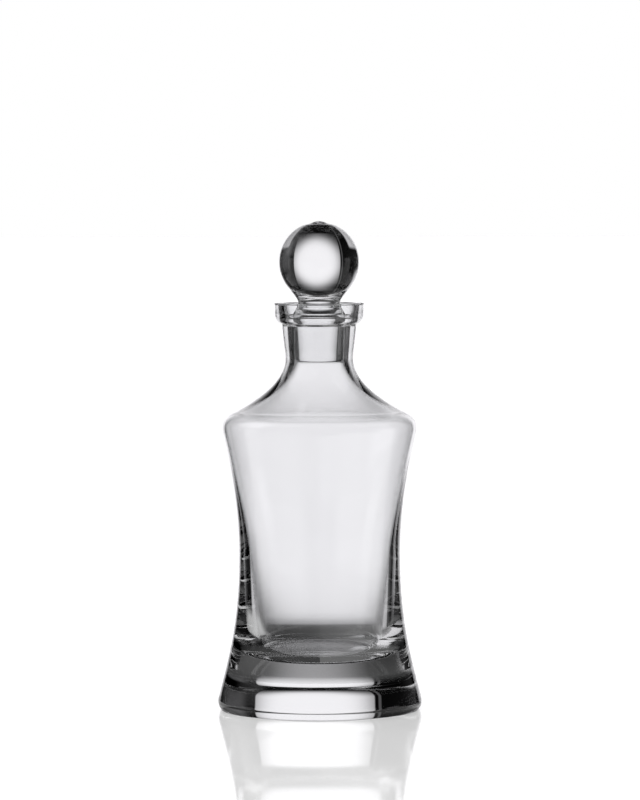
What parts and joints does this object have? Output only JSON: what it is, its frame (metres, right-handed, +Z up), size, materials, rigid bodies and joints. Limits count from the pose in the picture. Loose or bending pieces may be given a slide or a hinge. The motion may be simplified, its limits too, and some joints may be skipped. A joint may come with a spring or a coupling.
{
  "type": "decanter",
  "caption": "Clear glass decanter with waisted round body, thick base, cupped pouring lip and a solid ball stopper that lifts out.",
  "frame": {"origin": "centre of the flat underside that stands on the table", "axes": "+Z up along the axis that both pieces are turned about; +X and +Y are alike"},
  "size_m": [0.1146, 0.1146, 0.2747],
  "materials": {
    "bottle_glass": "clear, fire polished",
    "stopper_glass": "clear, polished"
  },
  "bodies": {
    "bottle": {"bottle": "bottle_glass"},
    "stopper": {"stopper": "stopper_glass"}
  },
  "joints": [
    {"name": "stopper_lift", "type": "slide", "parent": "bottle", "child": "stopper", "axis": [0, 0, 1], "range_m": [0, 0.05]}
  ]
}
